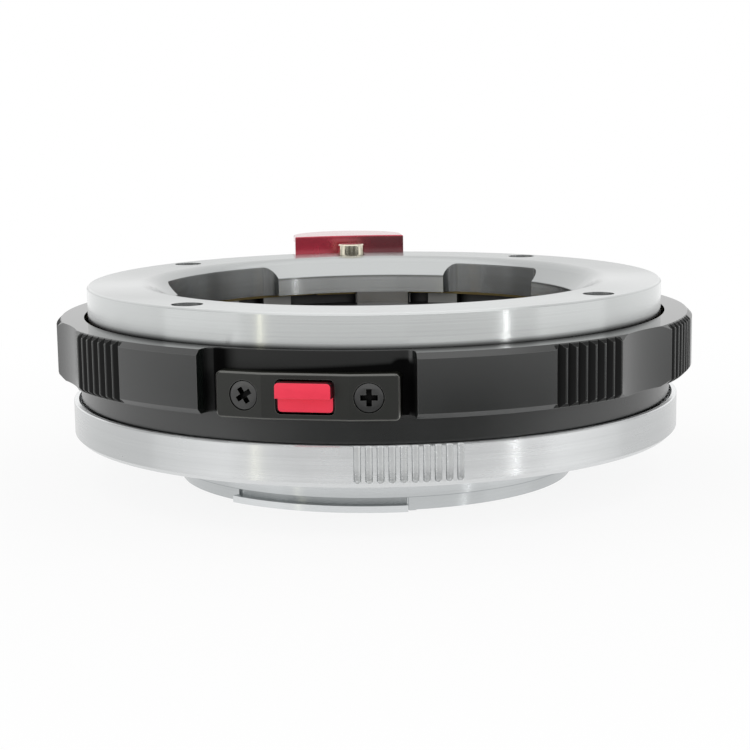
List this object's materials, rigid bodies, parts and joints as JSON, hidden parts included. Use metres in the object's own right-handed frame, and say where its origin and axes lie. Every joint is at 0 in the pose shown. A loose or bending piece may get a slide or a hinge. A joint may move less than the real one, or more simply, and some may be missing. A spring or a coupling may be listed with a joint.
{
  "type": "lens mount adapter",
  "caption": "Close-focus lens mount adapter: silver bayonets front and back, a black grip ring that turns a double helicoid, a red lock button and a red lens release lever.",
  "frame": {"origin": "centre of the throat, in the plane of the face that meets the camera", "axes": "+Z along the optical axis towards the lens, +Y towards the release lever"},
  "size_m": [0.0664, 0.07, 0.0223],
  "materials": {
    "silver_aluminium": "fine turned, satin",
    "black_anodised": "black anodised, satin",
    "red_anodised": "red anodised, satin",
    "steel": "polished",
    "blackened_steel": "blackened",
    "brass": "turned",
    "spring_bronze": "rolled strip"
  },
  "bodies": {
    "camera_side": {"camera_bayonet": "silver_aluminium", "camera_bayonet_screws": "steel", "camera_mount_ring": "silver_aluminium", "base_barrel": "black_anodised", "guide_keys": "brass", "guide_key_screws": "steel"},
    "helicoid_stage": {"helicoid_ring": "brass"},
    "focus_grip": {"focus_ring": "black_anodised", "focus_ring_set_screws": "blackened_steel", "lock_plate": "black_anodised", "lock_plate_screws": "blackened_steel", "lock_button_spring": "steel"},
    "lock_button": {"lock_button": "red_anodised"},
    "lens_carriage": {"lens_mount_flange": "silver_aluminium", "flange_screws": "blackened_steel", "carriage_barrel": "black_anodised", "bayonet_spring": "spring_bronze", "lug_stop": "steel", "release_spring": "steel"},
    "release": {"release_lever": "red_anodised", "lock_pin": "steel"}
  },
  "joints": [
    {"name": "helicoid_rise", "type": "slide", "parent": "camera_side", "child": "helicoid_stage", "axis": [0, 0, 1], "range_m": [-0.0023, 0]},
    {"name": "focus_turn", "type": "hinge", "parent": "helicoid_stage", "child": "focus_grip", "pos_m": [0, 0, 0], "axis": [0, 0, 1], "range_deg": [-90, 0]},
    {"name": "lens_slide", "type": "slide", "parent": "camera_side", "child": "lens_carriage", "axis": [0, 0, 1], "range_m": [-0.0054, 0]},
    {"name": "lock_press", "type": "slide", "parent": "focus_grip", "child": "lock_button", "axis": [0.294, 0.9558, 0], "range_m": [0, 0.0004], "stiffness_N_per_m": 500, "springref_m": -0.0006, "deforming": ["lock_button_spring"]},
    {"name": "release_press", "type": "slide", "parent": "lens_carriage", "child": "release", "axis": [0, 0, -1], "range_m": [0, 0.00135], "stiffness_N_per_m": 800, "springref_m": -0.0008, "deforming": ["release_spring"]}
  ],
  "couplings": [
    {"joint": "helicoid_rise", "follows": "focus_turn", "m_per_rad": 0.001464},
    {"joint": "lens_slide", "follows": "focus_turn", "m_per_rad": 0.003437}
  ]
}
